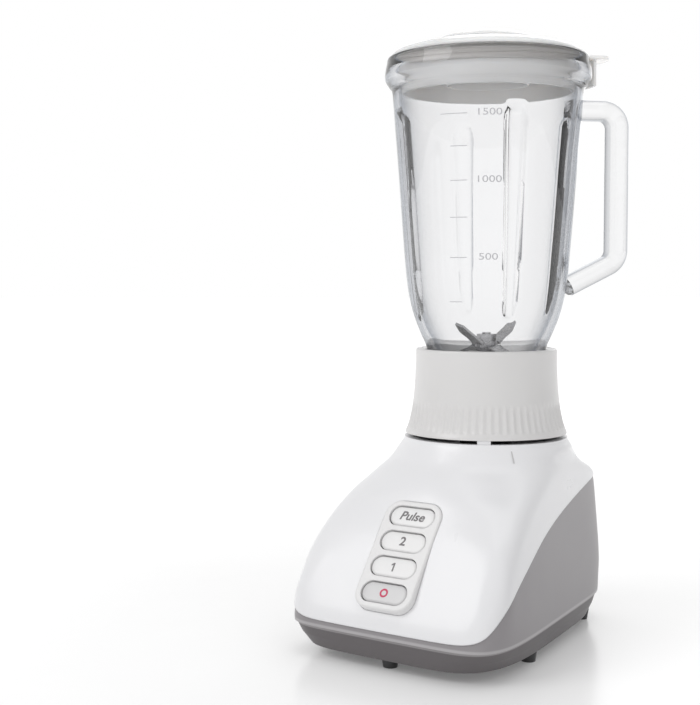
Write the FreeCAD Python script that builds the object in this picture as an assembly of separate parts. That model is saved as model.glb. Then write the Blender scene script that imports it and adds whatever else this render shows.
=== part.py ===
import FreeCAD, Part
import math
import os
from FreeCAD import Vector as V

# Countertop blender: a hooded motor base, a screw collar that carries the blades, a glass jug with
# its handle, and a lid with a filler cap.  Millimetres, +Z up, the front faces -Y.
# Everything is modelled around the jug axis and is then moved so that the origin lies under the
# middle of the object's box, on the surface that it stands on.

os.makedirs("parts", exist_ok=True)

# ---------------------------------------------------------------- driving dimensions
FRONT_REACH = 133.0         # jug axis to the front of the base
REAR_REACH = 88.0           # jug axis to the back of the base
SIDE_REACH = 67.5           # jug axis to the side wall, beside the axis
SIDE_TAPER = 0.145          # how much each side wall closes in per mm towards the back
WALL_DRAFT = 0.078          # how much the walls lean in per mm of height
SHELL_WALL = 2.8
SKIRT_STEP = 0.6            # how far the grey skirt lies behind the white hood
PAN_TOP = 21.0              # joint between the bottom pan and the housing
PAN_FLOOR = 7.0             # underside of the bottom pan
PAN_THICK = 2.6
INLET_END = 89.0            # jug axis to the end of the cord inlet
RING_RADIUS = 56.5          # round ring that the jug collar stands on
RING_TOP = 136.0
RING_BORE = 50.0
DECK_TOP = 128.0
DECK_THICK = 3.0
DECK_HOLE = 12.0

FOOT_RADIUS = 5.8
FEET = [(0, -118), (-64.5, -55), (64.5, -55), (-44, 62), (44, 62)]
SCREWS = [(-64, -92), (64, -92), (-52, 40), (52, 40)]
POST_TOP = 40.0

PANEL_WIDTH = 43.0
PANEL_LENGTH = 76.0
PANEL_THICK = 9.0
PANEL_CORNER = 11.0
PANEL_CENTRE = V(0, -109.6, 70.5)
PANEL_SLOPE = 53.5          # degrees from level
BUTTON_WIDTH = 33.4
BUTTON_HEIGHT = 13.7
BUTTON_PITCH = 18.0
BUTTON_GAP = 0.5
BUTTON_RECESS = 0.8
BUTTON_DEPTH = 7.0

MOTOR_STACK = 44.0          # height of the lamination stack
MOTOR_BASE = 40.0           # underside of the lamination stack
MOTOR_SIDE = 86.0
MOTOR_BORE = 23.0
ROTOR_RADIUS = 22.4
SHAFT_RADIUS = 4.0
FIT = 0.04                  # radial clearance of a running fit

COLLAR_BOTTOM = 138.6
COLLAR_TOP = 197.0
COLLAR_WALL = 2.6
CARRIER_TOP = 182.0         # plate that carries the blades
CARRIER_THICK = 4.0
NECK_RADIUS = 39.0          # outside of the jug's neck, inside the collar
JUG_BOTTOM = 183.4
JUG_WALL = 4.2
JUG_TOP = 396.0
HANDLE_AZIMUTH = 138.0      # degrees from the front, towards +X
HANDLE_THICK = 13.6
HANDLE_WIDTH = 21.0
BLADE_LEVEL = 200.0
BLADE_THICK = 1.6
BLADE_TURN = 66.0

LID_RIM = 67.2
LID_PLUG = 60.0
LID_PLUG_BOTTOM = 372.0
CAP_RADIUS = 38.0
CAP_HOLE = 30.0

ORIGIN_SHIFT = V(0, (FRONT_REACH - INLET_END) / 2, 0)


# ---------------------------------------------------------------- small helpers
def save(name, shape):
    """Move a finished piece into the object's frame and write its STEP file."""
    placed = shape.copy()
    placed.translate(ORIGIN_SHIFT)
    placed.exportStep("parts/" + name + ".step")
    box = placed.BoundBox
    print("%-22s valid %s solids %d volume %.0f  z %.1f..%.1f"
          % (name, placed.isValid(), len(placed.Solids), placed.Volume, box.ZMin, box.ZMax))


def cylinder(radius, bottom, top, x=0.0, y=0.0):
    return Part.makeCylinder(radius, top - bottom, V(x, y, bottom))


def tube(outer, inner, bottom, top, x=0.0, y=0.0):
    return cylinder(outer, bottom, top, x, y).cut(cylinder(inner, bottom - 1, top + 1, x, y))


def block(width, depth, bottom, top, x=0.0, y=0.0):
    return Part.makeBox(width, depth, top - bottom, V(x - width / 2, y - depth / 2, bottom))


def turned(profile):
    """A closed (r, z) outline turned about the jug axis."""
    points = [V(r, 0, z) for r, z in profile]
    face = Part.Face(Part.makePolygon(points + points[:1]))
    return face.revolve(V(0, 0, 0), V(0, 0, 1), 360)


def smooth_curve(points):
    curve = Part.BSplineCurve()
    curve.interpolate([V(*p) for p in points])
    return curve.toShape()


def turned_between(outer, inner):
    """The wall between two smooth (r, z) profiles, both given from bottom to top."""
    first = smooth_curve([(r, 0, z) for r, z in outer])
    second = smooth_curve([(r, 0, z) for r, z in inner])
    foot = Part.makeLine(V(outer[0][0], 0, outer[0][1]), V(inner[0][0], 0, inner[0][1]))
    head = Part.makeLine(V(outer[-1][0], 0, outer[-1][1]), V(inner[-1][0], 0, inner[-1][1]))
    wire = Part.Wire(Part.sortEdges([first, head, second, foot])[0])
    return Part.Face(wire).revolve(V(0, 0, 0), V(0, 0, 1), 360)


def ring_of(shape, count, start=0.0):
    """The same solid repeated evenly about the jug axis."""
    copies = []
    for i in range(count):
        one = shape.copy()
        one.rotate(V(0, 0, 0), V(0, 0, 1), start + 360.0 * i / count)
        copies.append(one)
    return copies


def joined(shapes):
    result = shapes[0]
    if len(shapes) > 1:
        result = shapes[0].multiFuse(shapes[1:])
    return result.removeSplitter()


def interpolate(table, z):
    """Straight-line reading of a short (z, value) table."""
    if z <= table[0][0]:
        return table[0][1]
    for (z0, v0), (z1, v1) in zip(table, table[1:]):
        if z <= z1:
            return v0 + (v1 - v0) * (z - z0) / (z1 - z0)
    return table[-1][1]


# ---------------------------------------------------------------- base surface
FRONT_LINE = [(PAN_TOP, FRONT_REACH + SKIRT_STEP), (30, 130.8), (38, 127), (48, 121), (63, 112), (78, 103),
              (92, 92.8), (99, 88.4), (104, 86), (112, 84), (RING_TOP, 82)]
BELL_FRONT = [(60, 172), (70, 147), (80, 128.5), (89, 113.5), (95, 104.5), (102.5, 93), (108, 84),
              (113, 77), (119.5, 68.2), (124, 64), (127.5, 61.5), (131, 58.8), (134, RING_RADIUS + 0.4),
              (RING_TOP, RING_RADIUS)]
BELL_REAR = [(60, 190), (80, 150), (95, 125), (104, 104), (108, 95), (111, 86), (113.5, 78.5),
             (116, 73), (119.5, 68.2), (124, 64), (127.5, 61.5), (131, 58.8), (134, RING_RADIUS + 0.4),
             (RING_TOP, RING_RADIUS)]
CORNER_POWER = [(PAN_FLOOR, 3.9), (PAN_TOP, 5.8), (32, 7.0), (45, 9.0), (60, 9.5)]
BELL_POWER = 14.0
NECK_BLEND = (122.0, 133.0)


def base_radius(angle, z, inset=0.0):
    """Distance from the jug axis to the base's surface, at an angle from the front towards +X.

    The walls are a rounded trapezoid: four straight lines joined by a power mean, which rounds the
    corners.  A bell that widens downwards from the ring cuts them above, joined the same way, and
    near the ring the section turns into a plain circle.
    """
    ex, ey = math.sin(angle), -math.cos(angle)
    lean = WALL_DRAFT * max(z - PAN_TOP, 0.0)
    tilt = math.atan(SIDE_TAPER)
    side = (SIDE_REACH - lean) * math.cos(tilt) - inset
    rear = REAR_REACH - 0.75 * lean - inset
    front = interpolate(FRONT_LINE, z) - inset
    power = interpolate(CORNER_POWER, z)
    walls = ((-ey, front), (ey, rear), (abs(ex) * math.cos(tilt) + ey * math.sin(tilt), side))
    total = sum((max(part, 0.0) / reach) ** power for part, reach in walls)
    wall_radius = total ** (-1.0 / power)
    to_rear = (0.5 * (1 + ey)) ** 1.5
    bell = (1 - to_rear) * interpolate(BELL_FRONT, z) + to_rear * interpolate(BELL_REAR, z) - inset
    cut = (wall_radius ** -BELL_POWER + bell ** -BELL_POWER) ** (-1.0 / BELL_POWER)
    t = min(max((z - NECK_BLEND[0]) / (NECK_BLEND[1] - NECK_BLEND[0]), 0.0), 1.0)
    t = t * t * (3 - 2 * t)
    return cut * (1 - t) + bell * t


BASE_LEVELS = [PAN_TOP, 27, 34, 42, 51, 61, 71, 81, 90, 97,
               103, 108, 112, 116, 120, 124.5, 129, 133, RING_TOP]
SECTION_POINTS = 72


def section_wire(z, inset):
    points = []
    for i in range(SECTION_POINTS):
        angle = 2 * math.pi * i / SECTION_POINTS
        radius = base_radius(angle, z, inset)
        points.append(V(radius * math.sin(angle), -radius * math.cos(angle), z))
    curve = Part.BSplineCurve()
    curve.interpolate(points, PeriodicFlag=True)
    return Part.Wire(curve.toShape())


def base_solid(inset, levels):
    return Part.makeLoft([section_wire(z, inset) for z in levels], True, False)


def housing_shells():
    """The hollow housing at the hood's surface and at the skirt's, before they are parted."""
    low = [z for z in BASE_LEVELS if z < DECK_TOP - DECK_THICK - 3]
    inner = base_solid(SHELL_WALL, [PAN_TOP - 3] + low[1:] + [DECK_TOP - DECK_THICK])
    hood_shell = base_solid(0.0, BASE_LEVELS).cut(inner)
    skirt_shell = base_solid(SKIRT_STEP, low).cut(inner)
    return hood_shell.cut(cylinder(RING_BORE, DECK_TOP, RING_TOP + 1)), skirt_shell


SWOOSH = [(100, 106), (61.6, 102.9), (26.6, 96.7), (-15.8, 87.2), (-47, 77.1), (-72.9, 65.5),
          (-94, 54.6), (-112, 42.0), (-122.5, 32.0), (-130, 26.2), (-140, 24.0)]


def below_swoosh():
    """Everything under the sweeping line that parts the white hood from the grey skirt."""
    line = smooth_curve([(-120, y, z) for y, z in SWOOSH])
    first, last = SWOOSH[0], SWOOSH[-1]
    corners = [V(-120, last[0], last[1]), V(-120, last[0], 0), V(-120, first[0], 0),
               V(-120, first[0], first[1])]
    wire = Part.Wire(Part.sortEdges([line] + Part.makePolygon(corners).Edges)[0])
    return Part.Face(wire).extrude(V(240, 0, 0))


# ---------------------------------------------------------------- button panel frame
def panel_place(shape):
    """Lay a piece drawn flat on XY (face up, top end towards +Y) onto the sloping panel."""
    placed = shape.copy()
    placed.rotate(V(0, 0, 0), V(1, 0, 0), PANEL_SLOPE)
    placed.translate(PANEL_CENTRE)
    return placed


def rounded_plate(width, length, corner, bottom, top, y=0.0):
    plate = Part.makeBox(width, length, top - bottom, V(-width / 2, y - length / 2, bottom))
    uprights = [e for e in plate.Edges if abs(e.tangentAt(e.FirstParameter).z) > 0.9]
    return plate.makeFillet(corner, uprights)


BUTTON_PLACES = {
    "pulse_button": 1.5 * BUTTON_PITCH,
    "speed_two_button": 0.5 * BUTTON_PITCH,
    "speed_one_button": -0.5 * BUTTON_PITCH,
    "off_button": -1.5 * BUTTON_PITCH,
}


def button_panel():
    plate = rounded_plate(PANEL_WIDTH, PANEL_LENGTH, PANEL_CORNER, -PANEL_THICK, 0)
    face = plate.Faces[0]
    for candidate in plate.Faces:
        if candidate.CenterOfMass.z > face.CenterOfMass.z:
            face = candidate
    plate = plate.makeFillet(1.4, face.Edges)
    for y in BUTTON_PLACES.values():
        well = rounded_plate(BUTTON_WIDTH + 2 * BUTTON_GAP, BUTTON_HEIGHT + 2 * BUTTON_GAP,
                             BUTTON_HEIGHT / 2 + BUTTON_GAP - 0.05, -PANEL_THICK - 1, 1, y)
        plate = plate.cut(well)
    return panel_place(plate)


def push_button(y):
    cap = rounded_plate(BUTTON_WIDTH, BUTTON_HEIGHT, BUTTON_HEIGHT / 2 - 0.05,
                        -BUTTON_RECESS - BUTTON_DEPTH, -BUTTON_RECESS, y)
    stem = Part.makeBox(6, 4, 4, V(-3, y - 2, -BUTTON_RECESS - BUTTON_DEPTH - 4))
    return panel_place(cap.fuse(stem).removeSplitter())


def panel_pocket(grow, depth):
    """Room for the panel in the hood."""
    return panel_place(rounded_plate(PANEL_WIDTH + 2 * grow, PANEL_LENGTH + 2 * grow,
                                     PANEL_CORNER + grow, -depth, 12))


# ---------------------------------------------------------------- housing pieces
def screw_posts():
    """Posts for the base screws, each tied to the skirt's wall by a rib."""
    pieces = []
    for x, y in SCREWS:
        pieces.append(cylinder(5.0, PAN_TOP, POST_TOP, x, y))
        rib = block(16, 3, PAN_TOP, POST_TOP - 4, x + math.copysign(8, x), y)
        pieces.append(rib)
    hull = base_solid(SHELL_WALL / 2, [PAN_TOP, 27, 34, 42])
    return pieces[0].multiFuse(pieces[1:]).common(hull)


def housing():
    hood_shell, skirt_shell = housing_shells()
    region = below_swoosh()
    skirt = skirt_shell.common(region)
    hood = hood_shell.cut(region)
    skirt = skirt.fuse(screw_posts())
    for x, y in SCREWS:
        skirt = skirt.cut(cylinder(1.7, PAN_TOP - 1, 36.0, x, y))
    skirt = skirt.cut(gland_bore())
    hood = hood.cut(panel_pocket(0.15, PANEL_THICK + 30))
    hood = hood.cut(cylinder(DECK_HOLE, DECK_TOP - 10, DECK_TOP + 1))
    lugs = ring_of(block(9.0, 4.0, RING_TOP, COLLAR_BOTTOM, 0, -53.2), 3, 29.0)
    hood = joined([hood] + lugs)
    return hood, skirt


def bottom_pan():
    """A tray whose wall pulls in towards its flat floor."""
    outer = Part.makeLoft([section_wire(PAN_TOP, 1.6), section_wire(14.0, 2.4), section_wire(PAN_FLOOR, 4.2)],
                          True, True)
    inner = Part.makeLoft([section_wire(PAN_TOP + 1, 4.2), section_wire(14.0, 5.0),
                           section_wire(PAN_FLOOR + PAN_THICK, 6.8)], True, True)
    pan = outer.cut(inner)
    for x, y in SCREWS:
        pan = pan.fuse(cylinder(5.0, PAN_FLOOR + 1, PAN_TOP, x, y).common(outer))
    for x, y in SCREWS:
        pan = pan.cut(cylinder(3.6, PAN_FLOOR - 1, PAN_FLOOR + 5, x, y))
        pan = pan.cut(cylinder(1.9, PAN_FLOOR, PAN_TOP + 1, x, y))
    for i in range(-3, 4):
        pan = pan.cut(block(4.0, 46.0 - 4 * abs(i), PAN_FLOOR - 1, PAN_FLOOR + 4, 9.0 * i, 0))
    for x, y in FEET:
        pan = pan.cut(cylinder(4.0, PAN_FLOOR - 1, PAN_FLOOR + 4, x, y))
    return pan.removeSplitter()


def foot(x, y):
    """A domed rubber foot with a push-in stalk."""
    pad = Part.makeCone(FOOT_RADIUS - 1.2, FOOT_RADIUS, PAN_FLOOR, V(x, y, 0))
    return pad.fuse(cylinder(4.0, PAN_FLOOR, PAN_FLOOR + 4, x, y)).removeSplitter()


def base_screw(x, y):
    head = cylinder(3.3, PAN_FLOOR + 2.2, PAN_FLOOR + 5, x, y)
    slot = block(5.0, 1.0, PAN_FLOOR + 2, PAN_FLOOR + 3.3, x, y)
    return head.cut(slot).fuse(cylinder(1.7, PAN_FLOOR + 5, 35.0, x, y)).removeSplitter()


GLAND_HEIGHT = 34.0
GLAND_RADIUS = 6.0


def gland_bore():
    """The hole for the inlet bush, with a flat spot face for its lip."""
    wall = base_radius(math.pi, GLAND_HEIGHT, SKIRT_STEP)
    bore = Part.makeCylinder(GLAND_RADIUS, 30, V(0, wall - 20, GLAND_HEIGHT), V(0, 1, 0))
    return bore.fuse(Part.makeCylinder(GLAND_RADIUS + 2.3, 10, V(0, wall, GLAND_HEIGHT), V(0, 1, 0)))


def cord_gland():
    """The inlet bush in the back wall, with the hole that a cord would pass through."""
    wall = base_radius(math.pi, GLAND_HEIGHT, SKIRT_STEP)
    start = V(0, wall - SHELL_WALL - 6, GLAND_HEIGHT)
    body = Part.makeCylinder(GLAND_RADIUS, SHELL_WALL + 6, start, V(0, 1, 0))
    lip = Part.makeCylinder(GLAND_RADIUS + 2.2, INLET_END - wall, V(0, wall, GLAND_HEIGHT), V(0, 1, 0))
    nut = Part.makeCylinder(GLAND_RADIUS + 2.5, 4.0, start + V(0, 0.5, 0), V(0, 1, 0))
    bore = Part.makeCylinder(3.6, 40, V(0, wall - 20, GLAND_HEIGHT), V(0, 1, 0))
    return joined([body, lip, nut]).cut(bore)


# ---------------------------------------------------------------- motor
MOTOR_TOP = MOTOR_BASE + MOTOR_STACK
CORNER_BOLT = 36.0
COIL_PLACE = 31.0           # motor axis to the middle of each field coil


def stator():
    plate = rounded_plate(MOTOR_SIDE, MOTOR_SIDE, 14, MOTOR_BASE, MOTOR_TOP)
    plate = plate.cut(cylinder(MOTOR_BORE, MOTOR_BASE - 1, MOTOR_TOP + 1))
    for side in (-1, 1):
        plate = plate.cut(block(12.4, 34, MOTOR_BASE - 1, MOTOR_TOP + 1, side * COIL_PLACE, 0))
    for x in (-CORNER_BOLT, CORNER_BOLT):
        for y in (-CORNER_BOLT, CORNER_BOLT):
            plate = plate.cut(cylinder(2.6, MOTOR_BASE - 1, MOTOR_TOP + 1, x, y))
    return plate


def winding(side):
    """One field coil: a rounded loop that stands in the stator's slot and turns over its ends."""
    outer = block(11.0, 32.6, MOTOR_BASE - 9, MOTOR_TOP + 9, side * COIL_PLACE, 0)
    edges = [e for e in outer.Edges if abs(e.tangentAt(e.FirstParameter).x) > 0.9]
    return outer.makeFillet(5.0, edges)


def bracket(bottom, boss_top, leg_bottom, leg_top):
    """A bridge across the stator with a boss for one bearing."""
    bar = block(22, MOTOR_SIDE - 4, bottom, bottom + 4)
    legs = [block(22, 5, leg_bottom, leg_top, 0, side * 38.5) for side in (-1, 1)]
    boss = cylinder(11.5, bottom, boss_top)
    return joined([bar, boss] + legs)


BEARING_RADIUS = 9.0
UPPER_BEARING = (100.0, 106.0)
LOWER_BEARING = (27.0, 33.0)


def upper_bracket():
    piece = bracket(98.0, 107.0, MOTOR_TOP, 99.0)
    piece = piece.cut(cylinder(BEARING_RADIUS, UPPER_BEARING[0], 120))
    return piece.cut(cylinder(6.0, 90, 110))


def lower_bracket():
    piece = bracket(24.6, 33.5, 25.0, MOTOR_BASE)
    piece = piece.cut(cylinder(BEARING_RADIUS, LOWER_BEARING[0], 60))
    return piece.cut(cylinder(6.0, 20, 60))


def bearing(levels):
    return tube(BEARING_RADIUS, SHAFT_RADIUS + FIT, levels[0], levels[1])


def rotor_core():
    core = tube(ROTOR_RADIUS, SHAFT_RADIUS, MOTOR_BASE + 1, MOTOR_TOP - 1)
    for slot in ring_of(block(3.0, 7.0, MOTOR_BASE, MOTOR_TOP, 0, ROTOR_RADIUS - 2.5), 12):
        core = core.cut(slot)
    return core


def rotor_windings():
    ends = [tube(18.0, SHAFT_RADIUS, MOTOR_BASE - 4, MOTOR_BASE + 1),
            tube(18.0, SHAFT_RADIUS, MOTOR_TOP - 1, MOTOR_TOP + 5)]
    bars = ring_of(block(2.6, 5.5, MOTOR_BASE + 1, MOTOR_TOP - 1, 0, ROTOR_RADIUS - 3.2), 12)
    return joined(ends + bars)


def commutator():
    return tube(10.0, SHAFT_RADIUS, MOTOR_TOP + 5, MOTOR_TOP + 13)


def motor_shaft():
    return cylinder(SHAFT_RADIUS, 22.0, 136.0)


FAN_LEVEL = 110.0


def cooling_fan():
    """A radial fan: a disc with backward blades around its hub."""
    disc = tube(36.0, SHAFT_RADIUS, FAN_LEVEL, FAN_LEVEL + 1.6)
    hub = tube(8.0, SHAFT_RADIUS, FAN_LEVEL, FAN_LEVEL + 9)
    blade = block(1.4, 24.0, FAN_LEVEL, FAN_LEVEL + 8, 0, -23.0)
    blade.rotate(V(0, -23.0, 0), V(0, 0, 1), 28)
    return joined([disc, hub] + ring_of(blade, 9))


def brush_gear(side):
    """A brush holder beside the commutator, hung from the upper bracket."""
    holder = block(9, 14, MOTOR_TOP + 5.5, 98.0, 0, side * 21.0)
    return holder.cut(block(5.2, 30, MOTOR_TOP + 7, MOTOR_TOP + 11.5, 0, side * 21.0))


def carbon_brush(side):
    return block(5.0, 13.0, MOTOR_TOP + 7.1, MOTOR_TOP + 11.4, 0, side * (10.3 + 6.5))


def motor_mount(x, y):
    """A rubber bush between the stator and a pillar of the pan."""
    return tube(7.0, 2.6, MOTOR_BASE - 10, MOTOR_BASE, x, y)


MOUNTS = [(x, y) for x in (-CORNER_BOLT, CORNER_BOLT) for y in (-CORNER_BOLT, CORNER_BOLT)]


def motor_pillar(x, y):
    return cylinder(7.0, PAN_FLOOR + PAN_THICK - 0.5, MOTOR_BASE - 10, x, y)


def motor_bolt(x, y):
    head = cylinder(4.4, MOTOR_TOP, MOTOR_TOP + 3.5, x, y)
    return head.fuse(cylinder(2.6, MOTOR_BASE - 12, MOTOR_TOP, x, y)).removeSplitter()


# ---------------------------------------------------------------- drive couplings
TOOTH_COUNT = 4
DRIVE_BOTTOM = 130.0


def coupling_tooth(bottom, top, start):
    tooth = block(5.0, 7.5, bottom, top, 0, -12.5)
    return ring_of(tooth, TOOTH_COUNT, start)


def drive_coupling():
    """The toothed drive on top of the motor shaft."""
    disc = tube(18.0, SHAFT_RADIUS, DRIVE_BOTTOM, DRIVE_BOTTOM + 6)
    return joined([disc] + coupling_tooth(DRIVE_BOTTOM + 6, DRIVE_BOTTOM + 13, 0.0))


def jug_coupling():
    """The matching toothed piece under the blade carrier."""
    disc = tube(17.0, 3.0, DRIVE_BOTTOM + 14, DRIVE_BOTTOM + 20)
    return joined([disc] + coupling_tooth(DRIVE_BOTTOM + 7, DRIVE_BOTTOM + 14, 45.0))


def shaft_seal():
    return turned([(4.6, DECK_TOP), (DECK_HOLE, DECK_TOP - 3), (DECK_HOLE, DECK_TOP), (6.0, DECK_TOP + 1.5),
                   (4.6, DECK_TOP + 1.5)])


# ---------------------------------------------------------------- collar and blades
COLLAR_OUTER = [(56.0, COLLAR_BOTTOM), (54.2, 144), (52.3, 151), (50.8, 160), (49.7, 170), (49.1, 180),
                (48.8, COLLAR_TOP)]


def jug_collar():
    """The flared collar: grip flutes low down and an inner shelf for the blade carrier."""
    inner = [(r - COLLAR_WALL, z) for r, z in COLLAR_OUTER[:-1]] + [(46.2, COLLAR_TOP)]
    wall = turned_between(COLLAR_OUTER, inner)
    shelf = tube(48.6, 34.0, CARRIER_TOP - CARRIER_THICK - 3.5, CARRIER_TOP - CARRIER_THICK)
    sleeve = turned([(41.2, CARRIER_TOP - 7.5), (48.4, CARRIER_TOP - 7.5), (48.4, COLLAR_TOP - 1),
                     (43.2, COLLAR_TOP - 1), (41.2, COLLAR_TOP - 6)])
    return joined([wall, sleeve, shelf])


def blade_carrier():
    plate = tube(40.0, 6.0, CARRIER_TOP - CARRIER_THICK, CARRIER_TOP)
    hub = tube(12.0, 6.0, CARRIER_TOP - 20, CARRIER_TOP + 12)
    return joined([plate, hub])


def jug_gasket():
    return tube(38.4, 34.4, CARRIER_TOP, JUG_BOTTOM - 0.4)


def blade_bushing():
    return tube(6.0, 3.0 + FIT, CARRIER_TOP - 19, CARRIER_TOP + 9)


def blade_seal():
    return tube(6.0, 3.0 + FIT, CARRIER_TOP + 9, CARRIER_TOP + 12)


def blade_shaft():
    return cylinder(3.0, DRIVE_BOTTOM + 14, BLADE_LEVEL + 8)


def blade_pair(reach, width, rise, turn, level):
    """A flat blade with a tapering wing on each side, bent by the rise angle beyond its hub."""
    thick = BLADE_THICK
    wings = [tube(8.0, 3.0, level, level + thick)]
    root = 7.4
    for side in (0, 180):
        outline = [V(root, -width / 2, 0), V(reach * 0.7, -width / 2, 0), V(reach, -width * 0.1, 0),
                   V(reach * 0.9, width * 0.38, 0), V(root, width / 2, 0)]
        wing = Part.Face(Part.makePolygon(outline + outline[:1])).extrude(V(0, 0, thick))
        wing.rotate(V(root, 0, 0), V(0, 1, 0), -rise)
        wing.translate(V(0, 0, level))
        wing.rotate(V(0, 0, 0), V(0, 0, 1), side + turn)
        wings.append(wing)
    return joined(wings).cut(cylinder(3.0, level - 20, level + 40))




def blade_washer():
    return tube(7.0, 3.0, CARRIER_TOP + 12.4, BLADE_LEVEL - BLADE_THICK)


def blade_nut():
    """A domed hexagon nut on the end of the blade shaft."""
    corners = [direction(60.0 * i) * 6.6 + V(0, 0, BLADE_LEVEL + BLADE_THICK) for i in range(6)]
    prism = Part.Face(Part.makePolygon(corners + corners[:1])).extrude(V(0, 0, 5.2))
    return prism.cut(cylinder(3.0, BLADE_LEVEL, BLADE_LEVEL + 8))


# ---------------------------------------------------------------- jug
JUG_OUTER = [(NECK_RADIUS + 1.0, JUG_BOTTOM + 6), (NECK_RADIUS + 1.6, 194), (42.0, 199),
             (45.8, 207.5), (50.1, 218.5),
             (53.3, 230.6), (55.2, 243), (56.6, 257), (58.8, 285), (61.5, 322), (63.8, 350), (65.6, 372),
             (68.6, 378), (70.7, 382), (70.7, 386), (69.6, 390), (69.4, JUG_TOP)]
JUG_INNER = [(NECK_RADIUS - 5.4, JUG_BOTTOM + 6), (NECK_RADIUS - 4.6, 194), (37.0, 201),
             (41.0, 209), (45.6, 220),
             (49.0, 232), (51.0, 244), (52.4, 258), (54.6, 285), (57.3, 322), (59.6, 350), (61.4, 372),
             (62.0, 378), (62.5, 382), (63.2, 386), (64.6, 390), (65.6, JUG_TOP)]
RIB_AZIMUTHS = (48.0, 138.0, 228.0, 318.0)
RIB_FOOT = (48.5, 222.0, 4.5)       # distance from the axis, height and radius at the narrow end
RIB_HEAD = (62.5, 350.0, 8.5)


def direction(azimuth):
    """Unit vector in plan, from an angle measured from the front towards +X."""
    a = math.radians(azimuth)
    return V(math.sin(a), -math.cos(a), 0)


def jug_rib(azimuth):
    """A bar along the inside of the wall, narrow at its foot and wide and round at its head."""
    aim = direction(azimuth)
    foot_point = aim * RIB_FOOT[0] + V(0, 0, RIB_FOOT[1])
    head_point = aim * RIB_HEAD[0] + V(0, 0, RIB_HEAD[1])
    run = head_point - foot_point
    bar = Part.makeCone(RIB_FOOT[2], RIB_HEAD[2], run.Length, foot_point, run)
    return [bar, Part.makeSphere(RIB_FOOT[2], foot_point), Part.makeSphere(RIB_HEAD[2], head_point)]


def jug_body():
    wall = turned_between(JUG_OUTER, JUG_INNER)
    neck = tube(NECK_RADIUS, NECK_RADIUS - 5.4, JUG_BOTTOM, JUG_BOTTOM + 6.5)
    full = turned_between(JUG_OUTER, [(0.5, z) for r, z in JUG_OUTER])
    ribs = []
    for azimuth in RIB_AZIMUTHS:
        for piece in jug_rib(azimuth):
            ribs.append(piece.common(full))
    return joined([wall, neck] + ribs)


def handle_path():
    """The handle's centre line in its own upright plane: a top arm, a bend, the grip and a lower arm."""
    aim = direction(HANDLE_AZIMUTH)

    def at(radius, z):
        return aim * radius + V(0, 0, z)

    bend = 12.0
    slope = math.radians(26.0)
    grip = 95.2
    top = 362.4
    low = 253.0
    low_run = V(0, 0, 0) - aim * math.cos(slope) - V(0, 0, math.sin(slope))
    edges = [Part.makeLine(at(61.0, top), at(grip - bend, top))]
    middle = at(grip - bend + bend * math.sin(math.pi / 4), top - bend + bend * math.cos(math.pi / 4))
    edges.append(Part.Arc(at(grip - bend, top), middle, at(grip, top - bend)).toShape())
    edges.append(Part.makeLine(at(grip, top - bend), at(grip, low + bend)))
    turn = math.pi / 2 - slope
    centre = at(grip - bend, low + bend)

    def on_bend(angle):
        return centre + aim * (bend * math.cos(angle)) - V(0, 0, bend * math.sin(angle))

    edges.append(Part.Arc(at(grip, low + bend), on_bend(turn / 2), on_bend(turn)).toShape())
    edges.append(Part.makeLine(on_bend(turn), on_bend(turn) + low_run * 40.0))
    return Part.Wire(edges), aim


def jug_handle():
    path, aim = handle_path()
    start = path.Vertexes[0].Point
    across = aim.cross(V(0, 0, 1))
    half_w, half_t = HANDLE_WIDTH / 2, HANDLE_THICK / 2
    corner = 5.0
    section = Part.makeBox(HANDLE_WIDTH, 1, HANDLE_THICK, V(-half_w, 0, -half_t))
    long_edges = [e for e in section.Edges if abs(e.tangentAt(e.FirstParameter).y) > 0.9]
    section = section.makeFillet(corner, long_edges)
    face = [f for f in section.Faces if abs(f.CenterOfMass.y) < 1e-6][0]
    wire = face.OuterWire
    angle = math.degrees(math.atan2(across.y, across.x))
    wire.rotate(V(0, 0, 0), V(0, 0, 1), angle)
    wire.translate(start)
    return path.makePipeShell([wire], True, True, 2)


def jug():
    body = jug_body()
    handle = jug_handle()
    inside = turned_between(JUG_INNER, [(0.5, z) for r, z in JUG_INNER])
    handle = handle.cut(inside).cut(cylinder(30, 190, 400))
    return joined([body, handle])


# ---------------------------------------------------------------- lid
def lid():
    """The lid: a shallow dome with a plug that goes into the jug, a rim and a thumb tab."""
    outer = [(CAP_HOLE, 405.4), (40.0, 405.9), (50.0, 404.3), (60.0, 401.4), (65.0, 399.2), (LID_RIM, 396.6)]
    inner = [(CAP_HOLE, 402.8), (40.0, 403.2), (50.0, 401.6), (58.0, 399.0), (62.0, 397.4), (LID_RIM, 396.4)]
    dome = turned_between(outer, inner)
    plug = turned([(LID_PLUG, 401), (LID_PLUG - 2.4, 401), (LID_PLUG - 2.8, LID_PLUG_BOTTOM),
                   (LID_PLUG - 1.0, LID_PLUG_BOTTOM), (LID_PLUG + 0.6, 384), (LID_PLUG + 0.6, 398)])
    collar = tube(CAP_HOLE + 2.4, CAP_HOLE, 392, 404)
    aim = HANDLE_AZIMUTH - 90.0
    tab = Part.makeBox(26.0, 24.0, 2.6, V(60.5, -12.0, 396.6))
    tab = tab.makeFillet(8.0, [e for e in tab.Edges if abs(e.tangentAt(e.FirstParameter).z) > 0.9
                               and e.CenterOfMass.x > 80])
    flap = Part.makeBox(2.2, 18.0, 18.4, V(73.6, -9.0, 378.4))
    for piece in (tab, flap):
        piece.rotate(V(0, 0, 0), V(0, 0, 1), aim)
    tab = tab.cut(cylinder(CAP_HOLE + 25, 390, 410))
    return joined([dome, plug, collar, tab, flap])


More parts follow.
